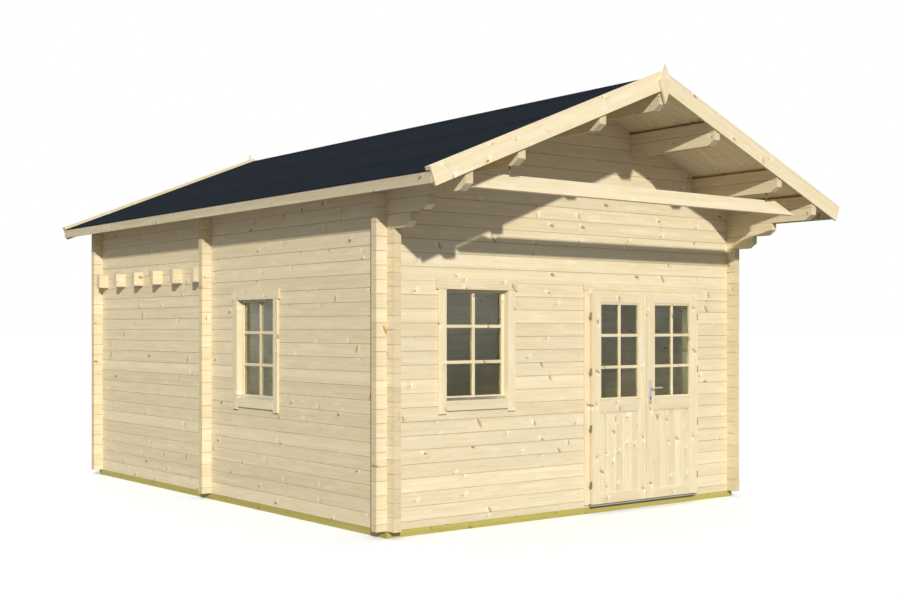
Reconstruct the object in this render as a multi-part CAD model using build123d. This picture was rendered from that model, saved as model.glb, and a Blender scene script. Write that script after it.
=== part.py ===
from build123d import *
import math
import os

# Garden house with a sleeping loft, built of planed interlocking logs.
# Building frame used below: X along the front from the left outer wall face,
# Y into the depth from the front outer wall face, Z up from the ground.
# Everything is moved at the end so that the origin is the bottom centre.
os.makedirs("parts", exist_ok=True)

# ---------------------------------------------------------------- dimensions
WIDTH = 4200.0          # outer face to outer face, front
DEPTH = 5700.0          # outer face to outer face, side
LOG_T = 70.0            # log thickness
LOG_H = 114.0           # visible height of a course
HALF = LOG_H / 2
BASE_H = 60.0           # foundation beam height
STUB = 100.0            # log ends past the outer faces
GROOVE = 3.5            # chamfer on the log edges
PART_Y = 2970.0         # front face of the partition
CX = WIDTH / 2

# roof
SLOPE = 22.0
TAN = math.tan(math.radians(SLOPE))
COS = math.cos(math.radians(SLOPE))
SIN = math.sin(math.radians(SLOPE))
ROOF_U = 3756.0         # underside of the roof boards at the ridge
BOARD_T = 19.0
FELT_T = 5.0
ROOF_Y0 = -1000.0       # front end of purlins and roof boards
ROOF_Y1 = 5940.0        # rear end
EAVE = 302.0            # roof boards past the side walls
FASCIA_T = 18.0
FASCIA_BOTTOM = 2708.0
FELT_DROP = 2795.0      # lower edge of the felt turned down over the fascia
BARGE_T = 20.0
BARGE_W = 147.0         # barge board and verge cap together
BARGE_TOP = 3812.0      # top of the verge caps at the ridge
CAP_BACK = 44.0         # how far a verge cap reaches in over the felt
BARGE_END = -341.0      # top corner of a barge board at the left eave

EAVES_BEAM_Z = 2682.0   # underside of the wall plate beams
PURLIN_LOW = 1552.0     # offset of the lower purlins from the ridge
PURLIN_HIGH = 692.0     # offset of the upper purlins
PURLIN_LOW_Z = 2907.0
PURLIN_HIGH_Z = 3254.0
RIDGE_Z = 3484.0
CORBEL_1 = 315.0        # lowest corbel, past the front face
CORBEL_2 = 545.0

TIE_Y = -890.0
TIE_Z = 2724.0
TIE_TIP = 178.0
TIE_NOTCH = (513.0, 618.0, 13.0)         # from, to, depth in the top edge

JOIST_Z = 2130.0
JOIST_H = 140.0
JOIST_FIRST = 3140.0
JOIST_PITCH = 465.0
JOIST_END = 104.0

FLOOR_TOP = 88.0
LOFT_T = 20.0
PARTITION_TOP = 2397.0

# door
DOOR_X0, DOOR_X1 = 2214.0, 3620.0      # opening in the logs
DOOR_TOP = 2055.0
LEAF_Y0, LEAF_Y1 = -60.0, -25.0
LEAF_Z0, LEAF_Z1 = 86.0, 1984.0
LEAF_L = (2216.0, 2914.0)
LEAF_R = (2920.0, 3618.0)
STILE = 92.0
TOP_RAIL = 80.0
MID_RAIL = (913.0, 1020.0)
BOTTOM_RAIL = 170.0
JAMB = 46.0
HINGE_DX = 10.0                        # pin axis beside the leaf edge
HINGE_Y = -50.0
HINGE_Z = (232.0, 738.0, 1248.0, 1750.0)
HINGE_LEN = 60.0
HINGE_R = 8.0
PIN_R = 4.0
LEVER_X, LEVER_Z = 2958.0, 1115.0
PLATE_Z = (968.0, 1190.0)

# windows (same size; the side one sits half a course lower)
WIN_W = 666.0
WIN_JAMB = 28.0
WIN_CX = 923.0
WIN_CY = 2084.0
WIN_Z0, WIN_Z1 = 1057.0, 1991.0        # clear opening of the frame, front window
SASH_SIDE, SASH_TOP, SASH_FOOT = 25.0, 20.0, 45.0
SASH_Y = 39.0

# the origin: middle of the overall box, on the ground
OX = CX
OY = ((ROOF_Y0 - 2 * BARGE_T) + (ROOF_Y1 + 2 * BARGE_T)) / 2


# ------------------------------------------------------------------- helpers
def bx(x0, x1, y0, y1, z0, z1):
    return Pos((x0 + x1) / 2, (y0 + y1) / 2, (z0 + z1) / 2) * Box(
        abs(x1 - x0), abs(y1 - y0), abs(z1 - z0))


def prism(points, direction):
    wire = Wire.make_polygon([Vector(*p) for p in points], close=True)
    return Solid.extrude(Face(wire), Vector(*direction))


def along_y(xz, y0, y1):
    return prism([(x, y0, z) for x, z in xz], (0, y1 - y0, 0))


def along_x(yz, x0, x1):
    return prism([(x0, y, z) for y, z in yz], (x1 - x0, 0, 0))


def cyl(x, y, z, r, length, axis="z"):
    body = Cylinder(r, length)
    if axis == "y":
        body = Rot(90, 0, 0) * body
    elif axis == "x":
        body = Rot(0, 90, 0) * body
    return Pos(x, y, z) * body


def fuse(items):
    first = items[0]
    return first.fuse(*items[1:]) if len(items) > 1 else first


def solids_of(thing):
    if isinstance(thing, (list, tuple)):
        out = []
        for t in thing:
            out += solids_of(t)
        return out
    return list(thing.solids())


def cut(thing, tools):
    """Cut tools from thing and keep every solid that is left."""
    out = []
    for s in solids_of(thing):
        r = s
        tool_list = [t for tool in tools for t in solids_of(tool)]
        r = r.cut(*tool_list) if tool_list else r
        out += solids_of(r)
    return out


def log_profile(a0, a1, z0, z1, joints):
    """Section across a log wall: thickness a0..a1, chamfered at each joint."""
    js = [j for j in joints if z0 + GROOVE < j < z1 - GROOVE]
    pts = [(a0, z0)]
    for j in js:
        pts += [(a0, j - GROOVE), (a0 + GROOVE, j), (a0, j + GROOVE)]
    pts += [(a0, z1), (a1, z1)]
    for j in reversed(js):
        pts += [(a1, j + GROOVE), (a1 - GROOVE, j), (a1, j - GROOVE)]
    pts += [(a1, z0)]
    return pts


X_JOINTS = [BASE_H + HALF + LOG_H * k for k in range(0, 40)]   # front, rear, partition
Y_JOINTS = [BASE_H + LOG_H * k for k in range(1, 40)]          # side walls


def slices(x0, x1, y0, y1, z0, z1, parity):
    """Half-course blocks of a crossing that belong to the other wall."""
    out = []
    j = 0
    while BASE_H + HALF * j < z1 - 1:
        a, b = BASE_H + HALF * j, BASE_H + HALF * (j + 1)
        if j % 2 == parity and b > z0 + 1:
            out.append(bx(x0, x1, y0, y1, max(a, z0), min(b, z1)))
        j += 1
    return out


def roof_u(x):
    return ROOF_U - abs(x - CX) * TAN


OUT = {}


def put(name, thing):
    OUT[name] = [s.moved(Location((-OX, -OY, 0))) for s in solids_of(thing)]


# ---------------------------------------------------------------- foundation
put("foundation_front", bx(0, WIDTH, 0, LOG_T, 0, BASE_H))
put("foundation_rear", bx(0, WIDTH, DEPTH - LOG_T, DEPTH, 0, BASE_H))
put("foundation_sides", [bx(0, LOG_T, LOG_T, DEPTH - LOG_T, 0, BASE_H),
                         bx(WIDTH - LOG_T, WIDTH, LOG_T, DEPTH - LOG_T, 0, BASE_H)])
put("foundation_middle", bx(LOG_T, WIDTH - LOG_T, PART_Y, PART_Y + LOG_T, 0, BASE_H))

JX = (723.0, 1412.0, 2100.0, 2788.0, 3477.0)
put("floor_joists",
    [bx(x - 30, x + 30, LOG_T, PART_Y, 0, BASE_H) for x in JX]
    + [bx(x - 30, x + 30, PART_Y + LOG_T, DEPTH - LOG_T, 0, BASE_H) for x in JX])

# ------------------------------------------------------------------ roof line
PURLINS = {}


def purlin(xc, z0, name):
    """A two-log roof beam with its lower ends cut off at a slant."""
    x0, x1 = xc - LOG_T / 2, xc + LOG_T / 2
    zt = min(roof_u(x0), roof_u(x1))
    prof = log_profile(x0, x1, z0, zt, [z0 + LOG_H])
    body = along_y(prof, ROOF_Y0, ROOF_Y1)
    c1, c2 = 75.0, 48.0
    tools = [
        along_x([(ROOF_Y0 - 1, z0 - 1), (ROOF_Y0 + c1, z0 - 1), (ROOF_Y0 + c1, z0),
                 (ROOF_Y0, z0 + c2), (ROOF_Y0 - 1, z0 + c2)], x0 - 1, x1 + 1),
        along_x([(ROOF_Y1 + 1, z0 - 1), (ROOF_Y1 + 1, z0 + c2), (ROOF_Y1, z0 + c2),
                 (ROOF_Y1 - c1, z0), (ROOF_Y1 - c1, z0 - 1)], x0 - 1, x1 + 1),
    ]
    PURLINS.setdefault(name, []).extend(cut(body, tools))
    return bx(x0, x1, ROOF_Y0, ROOF_Y1, z0, zt + 60)


BEAMS = [
    purlin(LOG_T / 2, EAVES_BEAM_Z, "eaves_beams"),
    purlin(WIDTH - LOG_T / 2, EAVES_BEAM_Z, "eaves_beams"),
    purlin(CX - PURLIN_LOW, PURLIN_LOW_Z, "lower_purlins"),
    purlin(CX - PURLIN_HIGH, PURLIN_HIGH_Z, "upper_purlins"),
    purlin(CX, RIDGE_Z, "ridge_purlin"),
    purlin(CX + PURLIN_HIGH, PURLIN_HIGH_Z, "upper_purlins"),
    purlin(CX + PURLIN_LOW, PURLIN_LOW_Z, "lower_purlins"),
]
for name, items in PURLINS.items():
    put(name, items)

# -------------------------------------------------------------- front and rear
def corner_tools(y0, y1, z0, z1, parity):
    """Blocks that the side wall logs take at both corners of a cross wall."""
    zt = min(z1, EAVES_BEAM_Z)
    return (slices(0, LOG_T, y0, y1, z0, zt, parity)
            + slices(WIDTH - LOG_T, WIDTH, y0, y1, z0, zt, parity))


def cross_wall(x0, x1, y0, z0, z1, gable=False):
    """Logs that run along X. A gable follows the underside of the roof."""
    y1 = y0 + LOG_T
    if not gable:
        return along_x(log_profile(y0, y1, z0, z1, X_JOINTS), x0, x1)
    body = along_x(log_profile(y0, y1, z0, ROOF_U + 20, X_JOINTS), x0, x1)
    shape = along_y([(x0, z0), (x1, z0), (x1, roof_u(x1)), (CX, ROOF_U), (x0, roof_u(x0))],
                    y0 - 5, y1 + 5)
    return body.intersect(shape)


WIN_TOOL = bx(WIN_CX - WIN_W / 2 - WIN_JAMB, WIN_CX + WIN_W / 2 + WIN_JAMB,
              -5, LOG_T + 5, WIN_Z0 - WIN_JAMB, DOOR_TOP + 5)
put("front_wall_left", cut(cross_wall(-STUB, DOOR_X0, 0, BASE_H, DOOR_TOP),
                           corner_tools(0, LOG_T, BASE_H, DOOR_TOP, 1) + [WIN_TOOL]))
put("front_wall_right", cut(cross_wall(DOOR_X1, WIDTH + STUB, 0, BASE_H, DOOR_TOP),
                            corner_tools(0, LOG_T, BASE_H, DOOR_TOP, 1)))
put("front_gable", cut(cross_wall(-STUB, WIDTH + STUB, 0, DOOR_TOP, None, True),
                       corner_tools(0, LOG_T, DOOR_TOP, EAVES_BEAM_Z, 1) + BEAMS))
put("rear_wall", cut(cross_wall(-STUB, WIDTH + STUB, DEPTH - LOG_T, BASE_H, None, True),
                     corner_tools(DEPTH - LOG_T, DEPTH, BASE_H, EAVES_BEAM_Z, 1) + BEAMS))

# partition between the front room and the rear room, with an open doorway;
# above the loft floor only short log ends tie the side walls
DW0, DW1 = 1700.0, 2500.0
TIE_IN = 300.0
part_wall = cut(cross_wall(-STUB, WIDTH + STUB, PART_Y, BASE_H, None, True), [
    bx(DW0, DW1, PART_Y - 5, PART_Y + LOG_T + 5, BASE_H - 5, DOOR_TOP),
    bx(LOG_T + TIE_IN, WIDTH - LOG_T - TIE_IN, PART_Y - 5, PART_Y + LOG_T + 5,
       PARTITION_TOP, ROOF_U + 50)]
    + corner_tools(PART_Y, PART_Y + LOG_T, BASE_H, EAVES_BEAM_Z, 1) + BEAMS)
put("partition_wall", part_wall)

# ------------------------------------------------------------------ side walls
JOIST_Y = [JOIST_FIRST + JOIST_PITCH * k for k in range(6)]


def side_wall(x0, window):
    x1 = x0 + LOG_T
    body = along_y(log_profile(x0, x1, BASE_H, EAVES_BEAM_Z, Y_JOINTS), -CORBEL_2, DEPTH + STUB)
    c1, c2 = EAVES_BEAM_Z - 2 * LOG_H, EAVES_BEAM_Z - LOG_H
    ch_y, ch_z = 72.0, 46.0
    # stepped corbels at the front: the two top logs run on under the roof
    away = along_x([(-CORBEL_2 - 1, BASE_H - 1), (-STUB, BASE_H - 1), (-STUB, c1),
                    (-CORBEL_1 + ch_y, c1), (-CORBEL_1, c1 + ch_z), (-CORBEL_1, c2),
                    (-CORBEL_2 + ch_y, c2), (-CORBEL_2, c2 + ch_z), (-CORBEL_2 - 1, c2 + ch_z)],
                   x0 - 5, x1 + 5)
    tools = [away]
    for y in (0.0, PART_Y, DEPTH - LOG_T):
        tools += slices(x0, x1, y, y + LOG_T, BASE_H, EAVES_BEAM_Z, 0)
    tools += [bx(x0 - 5, x1 + 5, y, y + LOG_T, JOIST_Z, JOIST_Z + JOIST_H) for y in JOIST_Y]
    if window:
        tools.append(bx(x0 - 5, x1 + 5, WIN_CY - WIN_W / 2 - WIN_JAMB,
                        WIN_CY + WIN_W / 2 + WIN_JAMB,
                        WIN_Z0 - WIN_JAMB - HALF, DOOR_TOP - HALF))
    return cut(body, tools)


put("left_wall", side_wall(0.0, True))
put("right_wall", side_wall(WIDTH - LOG_T, False))

# ------------------------------------------------------------ floors and loft
put("floor_boards", fuse([
    bx(LOG_T, WIDTH - LOG_T, LOG_T, PART_Y, BASE_H, FLOOR_TOP),
    bx(DW0, DW1, PART_Y - 1, PART_Y + LOG_T + 1, BASE_H, FLOOR_TOP),
    bx(LOG_T, WIDTH - LOG_T, PART_Y + LOG_T, DEPTH - LOG_T, BASE_H, FLOOR_TOP)]))
put("loft_joists", [bx(-JOIST_END, WIDTH + JOIST_END, y, y + LOG_T, JOIST_Z, JOIST_Z + JOIST_H)
                    for y in JOIST_Y])
put("loft_floor", bx(LOG_T, WIDTH - LOG_T, PART_Y + LOG_T, DEPTH - LOG_T,
                     JOIST_Z + JOIST_H, JOIST_Z + JOIST_H + LOFT_T))

# ------------------------------------------------------------------------ roof
BV = BOARD_T / COS
FV = FELT_T / COS
EX = -EAVE


def mir(xz):
    return [(WIDTH - x, z) for x, z in xz]


boards = [(CX, ROOF_U), (CX, ROOF_U + BV), (EX, roof_u(EX) + BV), (EX, roof_u(EX))]
put("roof_boards_left", along_y(boards, ROOF_Y0, ROOF_Y1))
put("roof_boards_right", along_y(mir(boards), ROOF_Y0, ROOF_Y1))

fx = EX - FASCIA_T
fascia = [(fx, FASCIA_BOTTOM), (EX, FASCIA_BOTTOM), (EX, roof_u(EX) + BV), (fx, roof_u(fx) + BV)]
put("fascia_boards", [along_y(fascia, ROOF_Y0, ROOF_Y1), along_y(mir(fascia), ROOF_Y0, ROOF_Y1)])

nx = fx - FELT_T
felt = [(CX, ROOF_U + BV), (CX, ROOF_U + BV + FV), (nx, roof_u(nx) + BV + FV),
        (nx, FELT_DROP), (fx, FELT_DROP), (fx, roof_u(fx) + BV)]
put("roof_felt_left", along_y(felt, ROOF_Y0, ROOF_Y1))
put("roof_felt_right", along_y(mir(felt), ROOF_Y0, ROOF_Y1))


def top_z(x):
    return BARGE_TOP - abs(x - CX) * TAN


bv = BARGE_W / COS
BM = CX - 0.5            # a hairline joint at the ridge
capv = BARGE_TOP - (ROOF_U + BV + FV)         # a cap lies on the felt and on the barge board
CAP_T = capv * COS
cap_end = (BARGE_END + CAP_T * SIN, top_z(BARGE_END) - CAP_T * COS)
cap = [(BM, top_z(BM)), (BARGE_END, top_z(BARGE_END)), cap_end, (BM, top_z(BM) - capv)]
barge = [(BM, top_z(BM) - capv), cap_end,
         (BARGE_END + BARGE_W * SIN, top_z(BARGE_END) - BARGE_W * COS), (BM, top_z(BM) - bv)]
put("barge_boards_front", [along_y(b, ROOF_Y0 - BARGE_T, ROOF_Y0) for b in (barge, mir(barge))])
put("barge_boards_rear", [along_y(b, ROOF_Y1, ROOF_Y1 + BARGE_T) for b in (barge, mir(barge))])
put("verge_caps", [along_y(c, y0, y1) for c in (cap, mir(cap))
                   for y0, y1 in ((ROOF_Y0 - BARGE_T, ROOF_Y0 + CAP_BACK),
                                  (ROOF_Y1 - CAP_BACK, ROOF_Y1 + BARGE_T))])

# pointed boards over the ridge ends: straight sided below, hollow sided above
half = [(0, 3860), (7, 3842), (13, 3826), (20, 3810), (28, 3796), (38, 3782), (50, 3764),
        (62, 3743), (75, 3720), (0, 3534)]
finial = [(CX + x, z) for x, z in half] + [(CX - x, z) for x, z in reversed(half[1:-1])]
put("finials", [along_y(finial, ROOF_Y0 - 2 * BARGE_T, ROOF_Y0 - BARGE_T),
                along_y(finial, ROOF_Y1 + BARGE_T, ROOF_Y1 + 2 * BARGE_T)])

# tie beam across the front overhang, hung from the lower purlins by two rods
run = LOG_H / TAN
tie_top = TIE_Z + LOG_H
n0, n1, nd = TIE_NOTCH
half_tie = [(TIE_TIP, TIE_Z), (TIE_TIP + run, tie_top), (n0, tie_top), (n0, tie_top - nd),
            (n1, tie_top - nd), (n1, tie_top)]
tie = along_y(half_tie + [(WIDTH - x, z) for x, z in reversed(half_tie)], TIE_Y, TIE_Y + LOG_T)
put("tie_beam", tie)
rod_z0 = tie_top - nd
put("tie_rods", [cyl(CX + s * PURLIN_LOW, TIE_Y + LOG_T / 2, (rod_z0 + PURLIN_LOW_Z) / 2,
                     4.0, PURLIN_LOW_Z - rod_z0) for s in (-1, 1)])

# ------------------------------------------------------------------------ door
FRAME_HEAD = 1940.0
put("door_frame", fuse([
    bx(DOOR_X0, DOOR_X0 + JAMB, -20, 90, FLOOR_TOP, FRAME_HEAD + 70),
    bx(DOOR_X1 - JAMB, DOOR_X1, -20, 90, FLOOR_TOP, FRAME_HEAD + 70),
    bx(DOOR_X0, DOOR_X1, -20, 90, FRAME_HEAD, FRAME_HEAD + 70)]))
put("door_sill", along_x([(0, BASE_H), (LOG_T, BASE_H), (LOG_T, FLOOR_TOP), (30, FLOOR_TOP),
                          (30, 66), (0, 66)], DOOR_X0, DOOR_X1))
put("threshold_strip", bx(LEAF_L[0], LEAF_R[1], LEAF_Y0, 30, 66, 80))
CAS = 20.0
put("door_casing", fuse([
    bx(2159, DOOR_X0, -CAS, 0, 80, LEAF_Z1),
    bx(DOOR_X1, 3675, -CAS, 0, 80, LEAF_Z1),
    bx(2152, 3682, -CAS, 0, FRAME_HEAD + 70, 2079),
    bx(2159, DOOR_X0, -CAS, 0, LEAF_Z1 - 1, FRAME_HEAD + 71),
    bx(DOOR_X1, 3675, -CAS, 0, LEAF_Z1 - 1, FRAME_HEAD + 71)]))


def leaf(x0, x1, lever_hole):
    body = bx(x0, x1, LEAF_Y0, LEAF_Y1, LEAF_Z0, LEAF_Z1)
    a, b = x0 + STILE, x1 - STILE
    tools = [
        bx(a, b, LEAF_Y0 - 5, LEAF_Y1 + 5, MID_RAIL[1], LEAF_Z1 - TOP_RAIL),
        bx(a, b, LEAF_Y0 - 5, LEAF_Y0 + 9, BOTTOM_RAIL, MID_RAIL[0]),
        bx(a, b, LEAF_Y1 - 9, LEAF_Y1 + 5, BOTTOM_RAIL, MID_RAIL[0]),
    ]
    if lever_hole:
        tools.append(cyl(LEVER_X, (LEAF_Y0 + LEAF_Y1) / 2, LEVER_Z, 6.5, 80, "y"))
    return cut(body, tools)


GLASS_Y = -44.5
put("door_leaf_left", leaf(*LEAF_L, False))
put("door_leaf_right", leaf(*LEAF_R, True))
for name, (x0, x1) in (("door_glass_left", LEAF_L), ("door_glass_right", LEAF_R)):
    put(name, bx(x0 + STILE, x1 - STILE, GLASS_Y, GLASS_Y + 4, MID_RAIL[1], LEAF_Z1 - TOP_RAIL))

# barrel hinges: the upper half turns with the leaf on the pin of the lower half
def hinge_fixed(ax, z):
    return fuse([
        cyl(ax, HINGE_Y, z + HINGE_LEN / 4 - 0.25, HINGE_R, HINGE_LEN / 2 - 0.5),
        cyl(ax, HINGE_Y, z + 39.0, PIN_R, 34.0),
        cyl(ax, (HINGE_Y - CAS) / 2, z + 15.0, 4.0, HINGE_Y * -1 - CAS, "y")])


def hinge_moving(ax, z, edge):
    barrel = cyl(ax, HINGE_Y, z + HINGE_LEN * 0.75 + 0.25, HINGE_R, HINGE_LEN / 2 - 0.5)
    arm = cyl((ax + edge) / 2, HINGE_Y, z + 45.0, 4.0, abs(edge - ax), "x")
    body = fuse([barrel, arm])
    bore = cyl(ax, HINGE_Y, z + HINGE_LEN / 2 + 13.5, PIN_R + 0.5, 28.0)
    return cut(body, [bore])


AX_L, AX_R = LEAF_L[0] - HINGE_DX, LEAF_R[1] + HINGE_DX
put("hinge_pins", [hinge_fixed(ax, z) for ax in (AX_L, AX_R) for z in HINGE_Z])
put("hinge_barrels_left", [hinge_moving(AX_L, z, LEAF_L[0]) for z in HINGE_Z])
put("hinge_barrels_right", [hinge_moving(AX_R, z, LEAF_R[1]) for z in HINGE_Z])

plates = []
for y0, y1 in ((LEAF_Y0 - 8, LEAF_Y0), (LEAF_Y1, LEAF_Y1 + 8)):
    p = bx(LEVER_X - 20, LEVER_X + 20, y0, y1, *PLATE_Z)
    plates += cut(p, [cyl(LEVER_X, (y0 + y1) / 2, LEVER_Z, 6.5, 30, "y")])
put("handle_plates", plates)

YO, YI = LEAF_Y0 - 8 - 38, LEAF_Y1 + 8 + 38
lever = fuse([
    cyl(LEVER_X, (YO + YI) / 2, LEVER_Z, 5.0, YI - YO, "y"),
    cyl(LEVER_X, (LEAF_Y0 - 8.5 + YO) / 2, LEVER_Z, 8.5, LEAF_Y0 - 8.5 - YO, "y"),
    cyl(LEVER_X, (LEAF_Y1 + 8.5 + YI) / 2, LEVER_Z, 8.5, YI - LEAF_Y1 - 8.5, "y"),
    bx(LEVER_X - 9, LEVER_X + 130, YO - 6, YO + 6, LEVER_Z - 9, LEVER_Z + 9),
    bx(LEVER_X - 9, LEVER_X + 130, YI - 6, YI + 6, LEVER_Z - 9, LEVER_Z + 9)])
put("lever_handle", lever)

# --------------------------------------------------------------------- windows
def window():
    """Front window in the building frame."""
    x0, x1 = WIN_CX - WIN_W / 2, WIN_CX + WIN_W / 2
    z0, z1 = WIN_Z0, WIN_Z1
    j = WIN_JAMB
    frame = bx(x0 - j, x1 + j, 0, 75, z0 - j, z1 + j).cut(bx(x0, x1, -5, SASH_Y, z0, z1))
    light = (x0 + SASH_SIDE, x1 - SASH_SIDE), (z0 + SASH_FOOT, z1 - SASH_TOP)
    frame = frame.cut(bx(*light[0], -5, 90, *light[1]))
    glass = bx(*light[0], SASH_Y + 13, SASH_Y + 17, *light[1])
    drip = along_x([(0, z0), (SASH_Y, z0), (SASH_Y, z0 + 38), (SASH_Y - 8, z0 + 38),
                    (0, z0 + 16)], x0, x1)
    w = 80.0
    casing = fuse([
        bx(x0 - w, x0, -CAS, 0, 965, z1), bx(x1, x1 + w, -CAS, 0, 965, z1),
        bx(x0 - w - 25, x1 + w + 25, -CAS, 0, z1, z1 + 95),
        bx(x0 - 1, x1 + 1, -CAS, 0, 989, 1073)])
    return {"frame": frame, "glass": glass, "drip": drip, "casing": casing}


front_window = window()
# the side window is the same one turned to face -X and lowered by half a course:
# (x, y) -> (y, WIN_CY + WIN_CX - x), so the outside stays outside
side_window = {key: [t.rotate(Axis.Z, -90).moved(Location((0, WIN_CY + WIN_CX, -HALF)))
                     for t in solids_of(s)] for key, s in window().items()}
for key in ("frame", "casing"):
    put("front_window_" + key, front_window[key])
    put("side_window_" + key, side_window[key])
put("window_glass", [front_window["glass"], side_window["glass"]])
put("window_drip_strips", [front_window["drip"], side_window["drip"]])

# --------------------------------------------------------------------- writing
for name, items in OUT.items():
    if len(items) == 1:
        shape = items[0]
    else:
        shape = Compound(children=list(items))
    shape.label = name
    export_step(shape, os.path.join("parts", name + ".step"))
    bb = shape.bounding_box()
    print(name, len(items), round(sum(s.volume for s in items) / 1e9, 4),
          [round(v) for v in (bb.min.X, bb.min.Y, bb.min.Z, bb.max.X, bb.max.Y, bb.max.Z)])
print("nodes", len(OUT), "origin shift", OX, OY)
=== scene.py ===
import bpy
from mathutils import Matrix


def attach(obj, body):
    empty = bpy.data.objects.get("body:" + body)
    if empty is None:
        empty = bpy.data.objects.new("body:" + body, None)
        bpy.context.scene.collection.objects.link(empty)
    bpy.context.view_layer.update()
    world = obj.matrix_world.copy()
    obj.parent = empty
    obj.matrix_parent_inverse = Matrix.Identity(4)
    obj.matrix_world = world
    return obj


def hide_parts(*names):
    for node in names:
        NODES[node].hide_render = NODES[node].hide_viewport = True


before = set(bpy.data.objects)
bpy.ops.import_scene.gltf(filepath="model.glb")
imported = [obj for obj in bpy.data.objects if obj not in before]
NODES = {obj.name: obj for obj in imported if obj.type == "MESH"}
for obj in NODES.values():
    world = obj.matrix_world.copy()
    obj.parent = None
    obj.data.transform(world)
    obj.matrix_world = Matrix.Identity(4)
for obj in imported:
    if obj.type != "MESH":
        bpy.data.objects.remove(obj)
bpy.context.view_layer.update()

import math
import random

import bpy
from mathutils import Vector, noise as mnoise

random.seed(11)

# ----------------------------------------------------------------- sizes (m)
# P() takes millimetres in the building's own frame: X right along the front
# from the left outer face, Y into the building from the front face, Z up.
CX = 2.1
SLOPE = math.radians(22.0)
TAN, COS, SIN = math.tan(SLOPE), math.cos(SLOPE), math.sin(SLOPE)
LOG = 0.114
ROOF_U = 3.756
BOARD_T = 0.019


def P(x, y, z):
    return Vector(((x - 2100.0) / 1000.0, (y - 2470.0) / 1000.0, z / 1000.0))


# -------------------------------------------------------------- node helpers
class Tree:
    def __init__(self, name):
        self.mat = bpy.data.materials.new(name)
        self.mat.use_nodes = True
        self.nt = self.mat.node_tree
        self.nt.nodes.clear()
        self.out = self.node("ShaderNodeOutputMaterial")
        self.tc = None

    def node(self, kind, **props):
        n = self.nt.nodes.new(kind)
        for k, v in props.items():
            setattr(n, k, v)
        return n

    def put(self, socket, value):
        if isinstance(value, bpy.types.NodeSocket):
            self.nt.links.new(value, socket)
        elif isinstance(value, (tuple, list)) and socket.type == "RGBA" and len(value) == 3:
            socket.default_value = (*value, 1.0)
        else:
            socket.default_value = value

    def m(self, op, a, b=0.0, c=0.0, clamp=False):
        n = self.node("ShaderNodeMath", operation=op, use_clamp=clamp)
        self.put(n.inputs[0], a)
        if len(n.inputs) > 1:
            self.put(n.inputs[1], b)
        if len(n.inputs) > 2:
            self.put(n.inputs[2], c)
        return n.outputs[0]

    def add(self, a, b):
        return self.m("ADD", a, b)

    def sub(self, a, b):
        return self.m("SUBTRACT", a, b)

    def mul(self, a, b):
        return self.m("MULTIPLY", a, b)

    def mad(self, a, b, c):
        return self.m("MULTIPLY_ADD", a, b, c)

    def smooth(self, x, lo, hi, a=0.0, b=1.0):
        n = self.node("ShaderNodeMapRange", interpolation_type="SMOOTHSTEP", clamp=True)
        self.put(n.inputs["Value"], x)
        self.put(n.inputs["From Min"], lo)
        self.put(n.inputs["From Max"], hi)
        self.put(n.inputs["To Min"], a)
        self.put(n.inputs["To Max"], b)
        return n.outputs["Result"]

    def com(self, x, y, z=0.0):
        n = self.node("ShaderNodeCombineXYZ")
        self.put(n.inputs[0], x)
        self.put(n.inputs[1], y)
        self.put(n.inputs[2], z)
        return n.outputs[0]

    def sep(self, v):
        n = self.node("ShaderNodeSeparateXYZ")
        self.put(n.inputs[0], v)
        return n.outputs[0], n.outputs[1], n.outputs[2]

    def noise(self, v, scale=1.0, detail=2.0, rough=0.5):
        n = self.node("ShaderNodeTexNoise", noise_dimensions="3D")
        self.put(n.inputs["Vector"], v)
        n.inputs["Scale"].default_value = scale
        n.inputs["Detail"].default_value = detail
        n.inputs["Roughness"].default_value = rough
        return n.outputs["Fac"]

    def white(self, w):
        n = self.node("ShaderNodeTexWhiteNoise", noise_dimensions="1D")
        self.put(n.inputs["W"], w)
        s = self.node("ShaderNodeSeparateColor")
        self.put(s.inputs[0], n.outputs["Color"])
        return s.outputs[0], s.outputs[1], s.outputs[2]

    def mix(self, fac, a, b, blend="MIX"):
        n = self.node("ShaderNodeMix", data_type="RGBA", blend_type=blend)
        self.put(n.inputs[0], fac)
        self.put(n.inputs[6], a)
        self.put(n.inputs[7], b)
        return n.outputs[2]

    def shade(self, colour, factor):
        """colour times a varying grey factor"""
        n = self.node("ShaderNodeVectorMath", operation="SCALE")
        self.put(n.inputs[0], colour)
        self.put(n.inputs["Scale"], factor)
        return n.outputs[0]

    def coords(self):
        if self.tc is None:
            self.tc = self.node("ShaderNodeTexCoord")
            self.xyz = self.sep(self.tc.outputs["Object"])
            self.nrm = self.sep(self.tc.outputs["Normal"])
        return self.xyz

    def bump(self, height, strength, distance):
        n = self.node("ShaderNodeBump")
        n.inputs["Strength"].default_value = strength
        n.inputs["Distance"].default_value = distance
        self.put(n.inputs["Height"], height)
        return n.outputs["Normal"]

    def surface(self, **values):
        n = self.node("ShaderNodeBsdfPrincipled")
        for k, v in values.items():
            self.put(n.inputs[k.replace("_", " ")], v)
        self.nt.links.new(n.outputs[0], self.out.inputs["Surface"])
        return n


# ---------------------------------------------------------------------- wood
# the seam colour below is the brown of the painted shade along the log joints
SPRUCE = dict(base=(0.690, 0.572, 0.352), pale=(0.760, 0.652, 0.430),
              late=(0.545, 0.392, 0.180), knot=(0.255, 0.130, 0.048), seam_shade=(0.400, 0.275, 0.130))
TREATED = dict(base=(0.400, 0.335, 0.076), pale=(0.480, 0.415, 0.118),
               late=(0.290, 0.225, 0.040), knot=(0.130, 0.095, 0.018), seam_shade=(0.150, 0.120, 0.030))


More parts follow.
